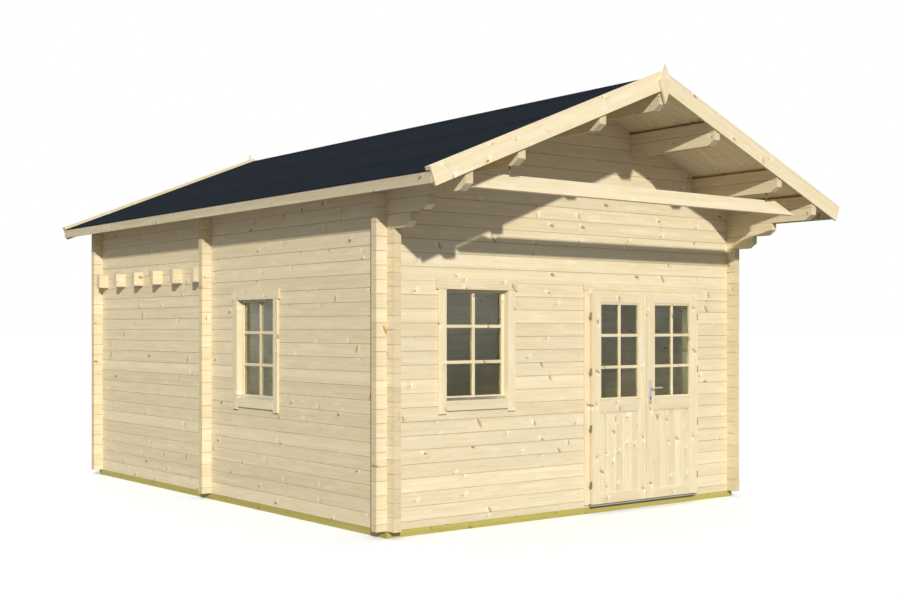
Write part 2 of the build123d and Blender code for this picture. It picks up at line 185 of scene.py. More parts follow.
def wood(name, kind, pitch=0.0, phase=0.0, seed=0.0, vc=0.0, islands=False, cell=0.50, cross=0.114,
         density=0.40, knot_r=0.0110, tones=SPRUCE, shade_scale=1.0, seam_shade=0.0, tonal=1.0, rough=0.60):
    """Sawn or planed spruce. kind says how the fibres run; pitch and phase say where one
    board or log ends and the next begins, so that each has its own figure."""
    t = Tree(name)
    x, y, z = t.coords()
    nx, ny, nz = t.nrm
    side = t.m("SIGN", x)
    if kind == "x":
        g, u, v, end = x, z, y, nx
    elif kind == "y":
        g, u, v, end = y, z, x, ny
    elif kind == "zx":
        g, u, v, end = z, x, y, nz
    elif kind == "zy":
        g, u, v, end = z, y, x, nz
    elif kind == "flat_x":
        g, u, v, end = x, y, z, nx
    elif kind == "flat_y":
        g, u, v, end = y, x, z, ny
    else:
        ax = t.m("ABSOLUTE", x)
        g = t.sub(t.mul(ax, COS), t.mul(z, SIN))
        n = t.add(t.mul(ax, SIN), t.mul(z, COS))
        end = t.sub(t.mul(t.mul(nx, side), COS), t.mul(nz, SIN))
        u, v = (y, n) if kind == "slope_flat" else (n, y)
    end = t.m("ABSOLUTE", end)

    # which board or log this is
    ident = seed
    if pitch:
        k = t.m("DIVIDE", t.sub(u, phase), pitch)
        row = t.m("FLOOR", k)
        inrow = t.sub(k, row)
        ident = t.mad(row, 1.37, seed)
        uc = t.mad(t.add(row, 0.5), pitch, phase)
    if kind in ("y", "slope", "slope_flat"):
        ident = t.add(ident, t.mul(side, 41.3)) if kind != "y" or vc else ident
    if islands:
        geo = t.node("ShaderNodeNewGeometry")
        ident = t.add(ident, t.mul(geo.outputs["Random Per Island"], 613.0))
    r1, r2, r3 = t.white(ident)
    g2 = t.mad(r1, 23.7, g)

    # knots: one spot to a cell of the fibre grid
    kv = t.com(t.m("DIVIDE", g2, cell), t.add(t.m("DIVIDE", u, cross), t.mul(r2, 9.0)), 0.0)
    vor = t.node("ShaderNodeTexVoronoi", voronoi_dimensions="2D", feature="F1")
    t.put(vor.inputs["Vector"], kv)
    vor.inputs["Scale"].default_value = 1.0
    vor.inputs["Randomness"].default_value = 0.85
    px, py, _ = t.sep(vor.outputs["Position"])
    kx, ky, _ = t.sep(kv)
    dx = t.mul(t.sub(kx, px), cell)
    dy = t.mul(t.sub(ky, py), cross)
    c = t.node("ShaderNodeSeparateColor")
    t.put(c.inputs[0], vor.outputs["Color"])
    live = t.m("GREATER_THAN", c.outputs[0], 1.0 - density)
    rad = t.mad(t.m("POWER", c.outputs[1], 2.0), knot_r * 0.95, knot_r * 0.34)
    wob = t.noise(t.com(t.mul(dx, 60.0), t.mul(dy, 60.0), t.mul(c.outputs[2], 50.0)), 1.0, 1.0)
    lean = t.mul(t.sub(c.outputs[1], 0.5), 1.1)
    spike = t.smooth(c.outputs[2], 0.44, 0.52)
    dxe = t.mul(t.mad(dy, t.mul(lean, 1.2), dx), t.mad(spike, 0.35, 0.55))
    dye = t.mul(dy, t.mad(spike, -0.66, 1.0))
    dist = t.m("SQRT", t.add(t.mul(dxe, dxe), t.mul(dye, dye)))
    dist = t.m("DIVIDE", dist, t.mul(rad, t.mad(wob, 0.5, 0.75)))
    knot = t.mul(t.smooth(dist, 0.80, 1.12, 1.0, 0.0), live)
    rim = t.mul(t.smooth(dist, 0.55, 0.95, 0.0, 1.0), knot)
    q = t.add(t.m("POWER", t.m("DIVIDE", dx, t.mul(rad, 5.5)), 2.0),
              t.m("POWER", t.m("DIVIDE", dy, t.mul(rad, 2.6)), 2.0))
    near = t.mul(t.m("EXPONENT", t.mul(q, -1.0)), live)
    # pale glare on one side of a knot, where the fibres turn up to the face
    hand = t.m("SIGN", t.sub(c.outputs[1], 0.5))
    q2 = t.add(t.m("POWER", t.m("DIVIDE", t.add(dx, t.mul(hand, 0.026)), 0.024), 2.0),
               t.m("POWER", t.m("DIVIDE", t.mad(t.mul(dx, hand), 0.55, dy), 0.021), 2.0))
    q3 = t.add(t.m("POWER", t.m("DIVIDE", t.sub(dx, t.mul(hand, 0.022)), 0.022), 2.0),
               t.m("POWER", t.m("DIVIDE", t.mad(t.mul(dx, hand), 0.40, dy), 0.026), 2.0))
    warm = t.mul(t.m("EXPONENT", t.mul(q3, -1.0)), live)
    glare = t.mul(t.m("EXPONENT", t.mul(q2, -1.0)), live)

    # growth rings, drawn as distance from a pith that wanders along the length
    w1 = t.sub(t.noise(t.com(t.mul(g2, 0.55), t.mul(r2, 40.0), 0.0), 1.0, 2.0), 0.5)
    w2 = t.sub(t.noise(t.com(t.mul(g2, 0.75), t.mul(r3, 40.0), 7.0), 1.0, 2.0), 0.5)
    ud = t.sub(u, t.mul(t.mul(dy, near), 0.65))
    if pitch and kind in ("x", "y") and vc:
        a = t.sub(t.sub(ud, uc), t.add(t.mul(t.sub(r1, 0.5), 0.05), t.mul(w1, 0.07)))
        vv = t.m("ABSOLUTE", v) if kind == "y" else v
        b = t.sub(t.sub(vv, vc), t.add(t.mul(t.sub(r3, 0.5), 0.02), t.mul(w2, 0.05)))
        rho = t.m("SQRT", t.add(t.mul(a, a), t.mul(b, b)))
    else:
        th = t.mad(r3, 0.9, 0.10)
        rho = t.add(t.add(t.mul(ud, t.m("SINE", th)), t.mul(v, t.m("COSINE", th))),
                    t.add(t.mul(w1, 0.060), t.mul(r1, 3.0)))
    wave = t.sub(t.noise(t.com(t.mul(g2, 2.2), t.mul(ud, 30.0), t.mul(v, 30.0)), 1.0, 2.0), 0.5)
    rho = t.mad(wave, 0.0035, rho)
    ringv = t.m("FRACT", t.m("DIVIDE", rho, 0.0062))
    ring = t.mul(t.smooth(ringv, 0.25, 0.88), t.smooth(ringv, 0.93, 1.0, 1.0, 0.0))
    bands = t.noise(t.com(t.mul(rho, 42.0), t.mul(r2, 30.0), t.mul(g2, 0.25)), 1.0, 2.0)

    # fibres and slow changes of tone
    fib = t.noise(t.com(t.mul(g2, 9.0), t.mul(u, 420.0), t.mul(v, 420.0)), 1.0, 2.0, 0.6)
    streak = t.noise(t.com(t.mul(g2, 1.6), t.mul(u, 55.0), t.mul(v, 55.0)), 1.0, 2.0, 0.55)
    slow = t.noise(t.com(t.mul(g2, 1.1), t.mul(u, 7.0), t.mul(r3, 20.0)), 1.0, 2.0)

    tone = t.smooth(t.add(t.mul(bands, 0.6), t.mul(slow, 0.4)), 0.30, 0.70)
    col = t.mix(tone, tones["pale"], tones["base"])
    amount = t.mul(t.mul(ring, t.mad(bands, 0.50, 0.12)), 0.62 * tonal)
    col = t.mix(amount, col, tones["late"])
    col = t.mix(t.mul(t.smooth(streak, 0.52, 0.78), 0.20 * tonal), col, tones["late"])
    col = t.mix(t.mul(warm, 0.30), col, tones["late"])
    col = t.mix(t.mul(glare, 0.62), col, (0.880, 0.800, 0.620) if tones is SPRUCE else tones["pale"])
    patch = t.noise(t.com(t.mul(g2, 3.4), t.mul(u, 16.0), t.mul(r3, 30.0)), 1.0, 3.0, 0.6)
    col = t.mix(t.smooth(patch, 0.50, 0.74, 0.0, 0.34), col, (0.840, 0.755, 0.560) if tones is SPRUCE else tones["pale"])
    col = t.mix(t.smooth(patch, 0.46, 0.24, 0.0, 0.22), col, tones["late"])
    halo = t.mul(t.mul(t.smooth(dist, 0.9, 2.0, 1.0, 0.0), live), 0.42)
    col = t.mix(halo, col, tones["late"])
    kcol = t.mix(rim, (0.330, 0.175, 0.065) if tones is SPRUCE else tones["late"], tones["knot"])
    kcol = t.mix(t.mul(c.outputs[2], 0.75), kcol, tones["late"])
    col = t.mix(t.mul(knot, 0.92), col, kcol)
    f = t.add(t.mul(t.sub(fib, 0.5), 0.16), t.mul(t.sub(r1, 0.5), 0.120))
    # the last factor scales the whole colour; below 1 it paints even shade into the material
    f = t.add(t.mad(t.sub(slow, 0.5), 0.14, f), shade_scale)

    # cut ends: browner, with fine drying checks from the heart outwards
    endm = t.smooth(end, 0.60, 0.80)
    col = t.mix(t.mul(endm, 0.30), col, tones["late"])
    col = t.mix(t.mul(t.mul(endm, ring), 0.30), col, tones["late"])
    if pitch and vc:
        ang = t.m("ARCTAN2", a, b)
        chk = t.noise(t.com(t.mul(ang, 3.2), t.mul(r2, 30.0), t.mul(rho, 6.0)), 1.0, 3.0, 0.7)
        chk = t.mul(t.smooth(chk, 0.655, 0.69), endm)
        col = t.mix(t.mul(chk, 0.75), col, tones["knot"])
    # painted shade: a brown line darkens the wood along each log joint, deepening the shade in the groove
    if seam_shade and pitch:
        edge = t.mul(t.sub(0.5, t.m("ABSOLUTE", t.sub(inrow, 0.5))), pitch)
        joint_shade = t.mul(t.smooth(edge, 0.0, 0.0045, 1.0, 0.0), t.mad(streak, 0.9, seam_shade - 0.3))
        joint_shade = t.m("MINIMUM", joint_shade, 1.0)
        col = t.mix(joint_shade, col, tones["seam_shade"])
    col = t.shade(col, f)

    height = t.add(t.mul(fib, 0.6), t.add(t.mul(ring, -0.35), t.mul(knot, 0.7)))
    normal = t.bump(height, 0.35, 0.0006)
    rgh = t.add(t.mad(fib, 0.18, rough - 0.09), t.mul(knot, -0.12))
    t.surface(Base_Color=col, Roughness=rgh, Specular_IOR_Level=0.32, Normal=normal)
    return t.mat


# -------------------------------------------------------------- other finishes
def metal(name, colour, rough, axis="x", scratch=0.5, dirt=(0.2, 0.18, 0.15), dirt_amount=0.25, metallic=1.0):
    t = Tree(name)
    x, y, z = t.coords()
    v = {"x": t.com(t.mul(x, 12.0), t.mul(y, 900.0), t.mul(z, 900.0)),
         "z": t.com(t.mul(x, 900.0), t.mul(y, 900.0), t.mul(z, 12.0))}[axis]
    brush = t.noise(v, 1.0, 3.0, 0.6)
    blot = t.noise(t.com(x, y, z), 28.0, 4.0, 0.6)
    col = t.mix(t.mul(t.smooth(blot, 0.48, 0.75), dirt_amount), colour, dirt)
    col = t.shade(col, t.mad(t.sub(brush, 0.5), 0.16, 1.0))
    rgh = t.add(t.mad(brush, 0.22 * scratch, rough), t.mul(t.smooth(blot, 0.5, 0.8), 0.14))
    t.surface(Base_Color=col, Metallic=metallic, Roughness=rgh, Normal=t.bump(brush, 0.18, 0.0003))
    return t.mat


def felt_material():
    t = Tree("mineral_felt")
    x, y, z = t.coords()
    p = t.com(x, y, z)
    grit = t.noise(p, 380.0, 2.0, 0.75)
    fleck = t.noise(p, 900.0, 1.0, 0.5)
    patch = t.noise(t.com(t.mul(x, 2.2), t.mul(y, 0.5), t.mul(z, 2.2)), 1.0, 4.0, 0.6)
    wash = t.noise(t.com(t.mul(x, 0.7), t.mul(y, 9.0), t.mul(z, 0.7)), 1.0, 3.0, 0.6)
    col = t.mix(t.smooth(grit, 0.30, 0.70), (0.0044, 0.0075, 0.0125), (0.0080, 0.0128, 0.0200))
    col = t.mix(t.mul(t.smooth(fleck, 0.66, 0.74), 0.55), col, (0.024, 0.034, 0.048))
    col = t.shade(col, t.add(t.mad(patch, 0.30, 0.76), t.mul(wash, 0.20)))
    t.surface(Base_Color=col, Roughness=0.95, Specular_IOR_Level=0.03,
              Normal=t.bump(t.add(grit, t.mul(fleck, 0.5)), 0.7, 0.0012))
    return t.mat


def glass_material():
    t = Tree("window_glass_clear")
    x, y, z = t.coords()
    rip = t.noise(t.com(t.mul(x, 2.6), t.mul(y, 2.6), t.mul(z, 1.3)), 1.0, 2.0, 0.5)
    smear = t.noise(t.com(t.mul(x, 9.0), t.mul(y, 9.0), t.mul(z, 5.0)), 1.0, 4.0, 0.7)
    n = t.node("ShaderNodeBsdfPrincipled")
    t.put(n.inputs["Base Color"], t.mix(smear, (0.61, 0.63, 0.51), (0.71, 0.73, 0.61)))
    n.inputs["Roughness"].default_value = 0.0
    n.inputs["IOR"].default_value = 1.50
    n.inputs["Transmission Weight"].default_value = 1.0
    t.put(n.inputs["Normal"], t.bump(rip, 0.10, 0.006))
    clear = t.node("ShaderNodeBsdfTransparent")
    clear.inputs[0].default_value = (0.36, 0.37, 0.31, 1)
    path = t.node("ShaderNodeLightPath")
    mixer = t.node("ShaderNodeMixShader")
    t.put(mixer.inputs[0], path.outputs["Is Shadow Ray"])
    t.put(mixer.inputs[1], n.outputs[0])
    t.put(mixer.inputs[2], clear.outputs[0])
    t.nt.links.new(mixer.outputs[0], t.out.inputs["Surface"])
    return t.mat


# painted shade: near-black for the shaded hollows of the keyway and the screw slots
def hole_shade_material():
    t = Tree("keyway_painted_shade")
    x, y, z = t.coords()
    n = t.noise(t.com(x, y, z), 300.0, 2.0)
    t.surface(Base_Color=t.mix(n, (0.012, 0.011, 0.010), (0.030, 0.027, 0.024)), Roughness=t.mad(n, 0.2, 0.45))
    return t.mat


W_X = LOG
MAT = {
    "front": wood("logs_front", "x", LOG, 0.117, 3.0, -2.435, seam_shade=0.50),
    "middle": wood("logs_middle", "x", LOG, 0.117, 303.0, 0.535, seam_shade=0.50),
    "rear": wood("logs_rear", "x", LOG, 0.117, 603.0, 3.195, seam_shade=0.50),
    "sides": wood("logs_sides", "y", LOG, 0.060, 903.0, 2.065, seam_shade=0.50),
    "eaves": wood("beam_eaves", "y", LOG, 2.682, 1203.0, 2.065, islands=True, seam_shade=0.50),
    "low": wood("beam_low", "y", LOG, 2.907, 1403.0, 1.552, islands=True, seam_shade=0.50),
    "high": wood("beam_high", "y", LOG, 3.254, 1603.0, 0.692, islands=True, seam_shade=0.50),
    "ridge": wood("beam_ridge", "y", LOG, 3.484, 1803.0, 0.001, islands=True, seam_shade=0.50),
    "tie": wood("beam_tie", "x", LOG, 2.724, 2003.0, -3.325),
    "joists": wood("beam_joists", "x", 0.140, 2.130, 2203.0, 0.0, islands=True),
    "ground_x": wood("ground_beam_x", "x", 0.0, 0.0, 2403.0, 0.0, islands=True, tones=TREATED, cell=0.42, cross=0.06, density=0.35),
    "ground_y": wood("ground_beam_y", "y", 0.0, 0.0, 2503.0, 0.0, islands=True, tones=TREATED, cell=0.42, cross=0.06, density=0.35),
    "board_x": wood("board_x", "x", seed=2603.0, islands=True, cell=0.42, cross=0.075, density=0.55, knot_r=0.010),
    "board_y": wood("board_y", "y", seed=2703.0, islands=True, cell=0.42, cross=0.075, density=0.55, knot_r=0.010),
    # painted shade: the fascia boards get a darker copy of the board wood, scaled by 0.80
    "fascia": wood("fascia_y_painted_shade", "y", seed=2753.0, islands=True, cell=0.42, cross=0.075, density=0.55, knot_r=0.010, shade_scale=0.80),
    "board_zx": wood("board_zx", "zx", seed=2803.0, islands=True, cell=0.40, cross=0.070, density=0.55, knot_r=0.010),
    "board_zy": wood("board_zy", "zy", seed=2903.0, islands=True, cell=0.40, cross=0.070, density=0.55, knot_r=0.010),
    "panel_zx": wood("panel_zx", "zx", seed=3003.0, islands=True, cell=0.32, cross=0.080, density=0.72, knot_r=0.011, tonal=1.15),
    "floor_x": wood("floor_x", "flat_x", seed=3103.0, islands=True, cell=0.5, cross=0.112, density=0.6),
    "loft_y": wood("loft_y", "flat_y", seed=3203.0, islands=True, cell=0.5, cross=0.112, density=0.6),
    "deck": wood("deck_slope", "slope_flat", seed=3303.0, islands=True, cell=0.40, cross=0.089, density=0.60, knot_r=0.010),
    "barge": wood("barge_slope", "slope", seed=3403.0, islands=True, cell=0.45, cross=0.147, density=0.65, knot_r=0.009),
    "felt": felt_material(),
    "glass": glass_material(),
    "steel": metal("satin_steel", (0.60, 0.565, 0.535), 0.36, "z", dirt=(0.42, 0.40, 0.37), metallic=0.45),
    "bolt": metal("zinc_steel", (0.50, 0.49, 0.46), 0.42, "z", dirt_amount=0.4),
    "rod": metal("rod_steel", (0.26, 0.235, 0.19), 0.55, "z", dirt=(0.14, 0.11, 0.075), dirt_amount=0.6),
    "hinge": metal("hinge_zinc", (0.33, 0.27, 0.18), 0.40, "z", dirt=(0.10, 0.07, 0.04), dirt_amount=0.6),
    "alu": metal("mill_aluminium", (0.66, 0.66, 0.67), 0.40, "x"),
    "hole_shade": hole_shade_material(),
}


def wear(node, key):
    o = NODES[node]
    o.data.materials.clear()
    o.data.materials.append(MAT[key])


for node, key in (
    ("front_wall_left", "front"), ("front_wall_right", "front"), ("front_gable", "front"),
    ("rear_wall", "rear"), ("partition_wall", "middle"),
    ("left_wall", "sides"), ("right_wall", "sides"),
    ("eaves_beams", "eaves"), ("lower_purlins", "low"), ("upper_purlins", "high"),
    ("ridge_purlin", "ridge"), ("tie_beam", "tie"), ("loft_joists", "joists"),
    ("foundation_front", "ground_x"), ("foundation_rear", "ground_x"), ("foundation_middle", "ground_x"),
    ("foundation_sides", "ground_y"), ("floor_joists", "ground_y"),
    ("fascia_boards", "fascia"), ("barge_boards_front", "barge"), ("barge_boards_rear", "barge"), ("verge_caps", "barge"),
    ("finials", "board_zx"), ("door_frame", "board_zx"), ("door_sill", "board_x"),
    ("window_drip_strips", "alu"), ("tie_rods", "rod"), ("window_glass", "glass"),
    ("door_glass_left", "glass"), ("door_glass_right", "glass"),
    ("hinge_pins", "hinge"), ("hinge_barrels_left", "hinge"), ("hinge_barrels_right", "hinge"),
    ("floor_boards", "floor_x"), ("loft_floor", "loft_y"),
    ("roof_boards_left", "deck"), ("roof_boards_right", "deck"),
    ("roof_felt_left", "felt"), ("roof_felt_right", "felt"),
    ("threshold_strip", "alu"), ("handle_plates", "steel"), ("lever_handle", "steel"),
    ("door_casing", "board_zx"), ("front_window_casing", "board_zx"), ("side_window_casing", "board_zy"),
    ("front_window_frame", "board_zx"), ("side_window_frame", "board_zy"),
    ("door_leaf_left", "board_zx"), ("door_leaf_right", "board_zx"),
):
    wear(node, key)


# --------------------------------------------------------------- mesh building
class Shape:
    """Gathers closed solids into one mesh, each with its own material slot."""

    def __init__(self):
        self.v, self.f, self.fm, self.smooth = [], [], [], []
        self.mats = []

    def slot(self, key):
        if key not in self.mats:
            self.mats.append(key)
        return self.mats.index(key)

    def solid(self, verts, faces, key, smooth=False):
        n = len(self.v)
        s = self.slot(key)
        self.v += [tuple(p) for p in verts]
        for f in faces:
            self.f.append([n + i for i in f])
            self.fm.append(s)
            self.smooth.append(smooth)

    def box(self, lo, hi, key, c=0.0015):
        """A box with every edge planed off by c."""
        lo, hi = Vector(lo), Vector(hi)
        lo, hi = Vector([min(a, b) for a, b in zip(lo, hi)]), Vector([max(a, b) for a, b in zip(lo, hi)])
        c = min([c] + [(hi[i] - lo[i]) * 0.35 for i in range(3)])
        mid, h = (lo + hi) / 2, (hi - lo) / 2
        idx, verts = {}, []
        for sx in (-1, 1):
            for sy in (-1, 1):
                for sz in (-1, 1):
                    s = (sx, sy, sz)
                    for a in range(3):
                        p = [mid[i] + s[i] * (h[i] - (0 if i == a else c)) for i in range(3)]
                        idx[(s, a)] = len(verts)
                        verts.append(p)
        faces = []
        for a in range(3):
            b, d = (a + 1) % 3, (a + 2) % 3
            for sa in (-1, 1):
                ring = []
                for sb, sd in ((-1, -1), (1, -1), (1, 1), (-1, 1)):
                    s = [0, 0, 0]
                    s[a], s[b], s[d] = sa, sb, sd
                    ring.append(idx[(tuple(s), a)])
                faces.append(ring if sa > 0 else ring[::-1])
        for a in range(3):              # edges that run along axis a
            b, d = (a + 1) % 3, (a + 2) % 3
            for sb in (-1, 1):
                for sd in (-1, 1):
                    s0, s1 = [0, 0, 0], [0, 0, 0]
                    s0[a], s1[a] = -1, 1
                    s0[b] = s1[b] = sb
                    s0[d] = s1[d] = sd
                    q = [idx[(tuple(s0), b)], idx[(tuple(s1), b)], idx[(tuple(s1), d)], idx[(tuple(s0), d)]]
                    faces.append(q if sb * sd < 0 else q[::-1])
        for sx in (-1, 1):
            for sy in (-1, 1):
                for sz in (-1, 1):
                    s = (sx, sy, sz)
                    q = [idx[(s, 0)], idx[(s, 1)], idx[(s, 2)]]
                    faces.append(q if sx * sy * sz > 0 else q[::-1])
        self.solid(verts, faces, key)

    def prism(self, section, place, key, smooth=False):
        """section: points (a, b); place(end, a, b) gives the 3-D point at end 0 or 1."""
        n = len(section)
        verts = [place(0, a, b) for a, b in section] + [place(1, a, b) for a, b in section]
        faces = [[i, (i + 1) % n, n + (i + 1) % n, n + i] for i in range(n)]
        faces += [list(range(n))[::-1], list(range(n, 2 * n))]
        self.solid(verts, faces, key, smooth)

    def sweep(self, points, radii, key, sides=16, squash=1.0):
        """A round or oval rod along points, closed at both ends."""
        pts = [Vector(p) for p in points]
        verts, faces = [], []
        up = Vector((0, 0, 1))
        for i, p in enumerate(pts):
            d = (pts[min(i + 1, len(pts) - 1)] - pts[max(i - 1, 0)]).normalized()
            a = up.cross(d)
            if a.length < 1e-4:
                a = Vector((1, 0, 0)).cross(d)
            a.normalize()
            b = d.cross(a).normalized()
            for k in range(sides):
                w = 2 * math.pi * k / sides
                verts.append(p + (a * math.cos(w) + b * math.sin(w) * squash) * radii[i])
        for i in range(len(pts) - 1):
            for k in range(sides):
                k2 = (k + 1) % sides
                faces.append([i * sides + k, i * sides + k2, (i + 1) * sides + k2, (i + 1) * sides + k])
        faces.append(list(range(sides))[::-1])
        faces.append([(len(pts) - 1) * sides + k for k in range(sides)])
        self.solid(verts, faces, key, True)

    def build(self, name, body, replaces=(), slot=None, edge_split=None):
        me = bpy.data.meshes.new(name)
        me.from_pydata(self.v, [], self.f)
        for key in self.mats:
            me.materials.append(MAT[key])
        me.polygons.foreach_set("material_index", self.fm)
        me.polygons.foreach_set("use_smooth", self.smooth)
        me.update()
        import bmesh
        bm = bmesh.new()
        bm.from_mesh(me)
        bmesh.ops.recalc_face_normals(bm, faces=bm.faces)
        bm.to_mesh(me)
        bm.free()
        if any(self.smooth):
            me.set_sharp_from_angle(angle=math.radians(38))
        o = bpy.data.objects.new(name, me)
        bpy.context.scene.collection.objects.link(o)
        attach(o, body)
        if replaces:
            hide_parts(*replaces)
        return o


def octagon(a0, a1, b0, b1, c, both=True):
    """A board's section with its long edges planed."""
    d = c if both else 0.0003
    return [(a0 + c, b0), (a1 - c, b0), (a1, b0 + c), (a1, b1 - d), (a1 - d, b1), (a0 + d, b1), (a0, b1 - d), (a0, b0 + c)]


# -------------------------------------------------------- roof boards and felt
def roof_under(ax):
    return ROOF_U - ax * TAN


RY0, RY1 = -3.470, 3.470
N_DECK = 78
for s, tag in ((-1, "left"), (1, "right")):
    sh = Shape()
    pitch = (RY1 - RY0) / N_DECK
    for i in range(N_DECK):
        y0 = RY0 + i * pitch
        jitter = 0.0004 * ((i * 7) % 3)
        sec = octagon(y0 + 0.0002, y0 + pitch - 0.0002, 0.0 + jitter * 0.3, BOARD_T, 0.0020, False)

        def place(end, yy, n, s=s):
            ax = 0.0004 if end == 0 else 2.402
            return (s * ax, yy, roof_under(ax) + n / COS)

        sh.prism(sec, place, "deck")
    sh.build("roof_boarding_" + tag, "house", ["roof_boards_" + tag], "board_wood")

    # felt: one-metre rolls laid along the roof from the eaves up, each lapped
    # over the one below, the first turned down over the fascia
    L = 2.425 / COS
    top = [(-1, 0.0)]
    marks = []
    s_len = 0.0
    laps = [0.0, 0.62, 1.51, 2.40]
    prof = []
    for k, a in enumerate(laps):
        b = laps[k + 1] if k + 1 < len(laps) else L
        base = 0.0046 if k else 0.0030
        prof.append((a, base))
        prof.append((a + 0.012, base + 0.0003))
        prof.append((a + 0.10, 0.0040 if k else 0.0030))
        prof.append(((a + b) / 2, 0.0030))
        prof.append((b - 0.0005, 0.0026))
    prof[-1] = (L, 0.0049)
    prof.insert(-1, (L - 0.150, 0.0049))
    prof.insert(-2, (L - 0.1505, 0.0030))
    NY = 56
    verts, faces = [], []
    rows = []
    for j in range(NY + 1):
        yy = RY0 + (RY1 - RY0) * j / NY
        row = []

        def at(dist, n):
            ax = 2.425 - dist * COS
            return Vector((s * max(ax, 0.0), yy, roof_under(max(ax, 0.0)) + BOARD_T / COS + n / COS))

        edge = 2.425
        zt = roof_under(edge) + BOARD_T / COS
        row.append(Vector((s * (edge - 0.005), yy, 2.795)))
        row.append(Vector((s * edge, yy, 2.795)))
        row.append(Vector((s * edge, yy, zt - 0.0004)))
        for d, n in prof:
            wv = mnoise.noise(Vector((d * 1.3, yy * 0.9, 3.0 + s))) * 0.0007
            edge_wave = mnoise.noise(Vector((d * 5.0, yy * 2.1, 9.0))) * 0.004 if 0.3 < d < L - 0.3 else 0.0
            row.append(at(min(max(d + edge_wave, 0.0), L), n + (wv if 0.02 < d < L - 0.02 else 0.0)))
        # the underside, back to the start
        row.append(at(L, 0.0))
        row.append(Vector((s * (edge - 0.005), yy, roof_under(edge - 0.005) + BOARD_T / COS)))
        rows.append(row)
    m = len(rows[0])
    for row in rows:
        verts += row
    for j in range(NY):
        for i in range(m):
            i2 = (i + 1) % m
            faces.append([j * m + i, j * m + i2, (j + 1) * m + i2, (j + 1) * m + i])
    faces.append(list(range(m))[::-1])
    faces.append([NY * m + i for i in range(m)])
    sh = Shape()
    sh.solid(verts, faces, "felt")
    sh.build("felt_strips_" + tag, "house", ["roof_felt_" + tag], "felt")

# --------------------------------------------------------- floor and loft boards
sh = Shape()
for ya, yb, n in ((70.0, 2970.0, 26), (3040.0, 5630.0, 23)):
    w = (yb - ya) / n
    for i in range(n):
        a, b = P(70, ya + w * i + 0.2, 60), P(4130, ya + w * (i + 1) - 0.2, 88)
        sh.box(a, b, "floor_x", 0.0016)
sh.box(P(1700, 2970.3, 60), P(2500, 3039.7, 88), "floor_x", 0.0016)
sh.build("floor_planks", "house", ["floor_boards"], "board_wood")

sh = Shape()
w = (4130.0 - 70.0) / 36
for i in range(36):
    sh.box(P(70 + w * i + 0.2, 3040, 2270), P(70 + w * (i + 1) - 0.2, 5630, 2290), "loft_y", 0.0016)
sh.build("loft_planks", "house", ["loft_floor"], "board_wood")

# ----------------------------------------------------------------------- doors
LEAF_Y0, LEAF_Y1 = -60.0, -25.0
GLASS0, GLASS1 = -44.5, -40.5
for tag, x0, x1, body in (("left", 2216.0, 2914.0, "left_leaf"), ("right", 2920.0, 3618.0, "right_leaf")):
    sh = Shape()
    a, b = x0 + 92, x1 - 92
    c = 0.0020
    sh.box(P(x0, LEAF_Y0, 86), P(a, LEAF_Y1, 1984), "board_zx", c)
    sh.box(P(b, LEAF_Y0, 86), P(x1, LEAF_Y1, 1984), "board_zx", c)
    sh.box(P(a, LEAF_Y0, 1904), P(b, LEAF_Y1, 1984), "board_x", c)
    sh.box(P(a, LEAF_Y0, 913), P(b, LEAF_Y1, 1020), "board_x", c)
    sh.box(P(a, LEAF_Y0, 86), P(b, LEAF_Y1, 170), "board_x", c)
    # tongue and groove panel
    n = 5
    w = (b - a) / n
    for i in range(n):
        sec = octagon(a + w * i + 0.2, a + w * (i + 1) - 0.2, -51.0, -34.0, 2.8)

        def place(end, xx, yy):
            return P(xx, yy, 170.0 if end == 0 else 913.0)

        sh.prism(sec, place, "panel_zx")
    # quarter mouldings round the panel and the glass, both faces
    for ya, yb in ((LEAF_Y0 + 3.0, -51.0), (-34.0, LEAF_Y1 - 3.0)):
        lo, hi = min(ya, yb), max(ya, yb)
        m = 11.0
        sh.box(P(a, lo, 170), P(a + m, hi, 913), "board_zx", 0.004)
        sh.box(P(b - m, lo, 170), P(b, hi, 913), "board_zx", 0.004)
        sh.box(P(a + m, lo, 170), P(b - m, hi, 170 + m), "board_x", 0.004)
        sh.box(P(a + m, lo, 913 - m), P(b - m, hi, 913), "board_x", 0.004)
    for ya, yb in ((LEAF_Y0 + 1.5, GLASS0), (GLASS1, LEAF_Y1 - 1.5)):
        lo, hi = min(ya, yb), max(ya, yb)
        m = 21.0
        sh.box(P(a, lo, 1020), P(a + m, hi, 1904), "board_zx", 0.0045)
        sh.box(P(b - m, lo, 1020), P(b, hi, 1904), "board_zx", 0.0045)
        sh.box(P(a + m, lo, 1020), P(b - m, hi, 1020 + m), "board_x", 0.0045)
        sh.box(P(a + m, lo, 1904 - m), P(b - m, hi, 1904), "board_x", 0.0045)
        mx = (a + b) / 2
        inset = 2.0 if lo < GLASS0 - 1 else 0.0
        out = 2.0 if lo >= GLASS0 else 0.0
        sh.box(P(mx - 14, lo + inset, 1041), P(mx + 14, hi - out, 1883), "board_zx", 0.0045)
        for zc in (1316.5, 1605.5):
            sh.box(P(a + m, lo + inset, zc - 14), P(mx - 14, hi - out, zc + 14), "board_x", 0.0045)
            sh.box(P(mx + 14, lo + inset, zc - 14), P(b - m, hi - out, zc + 14), "board_x", 0.0045)
    sh.build("door_joinery_" + tag, body, ["door_leaf_" + tag], "trim_wood")

# architraves round the door
sh = Shape()
sh.box(P(2159, -20, 80), P(2214, 0, 2010), "board_zx", 0.0025)
sh.box(P(3620, -20, 80), P(3675, 0, 2010), "board_zx", 0.0025)
sh.box(P(2152, -20, 2010.3), P(3682, 0, 2079), "board_x", 0.0025)
sh.build("door_architrave", "house", ["door_casing"], "trim_wood")

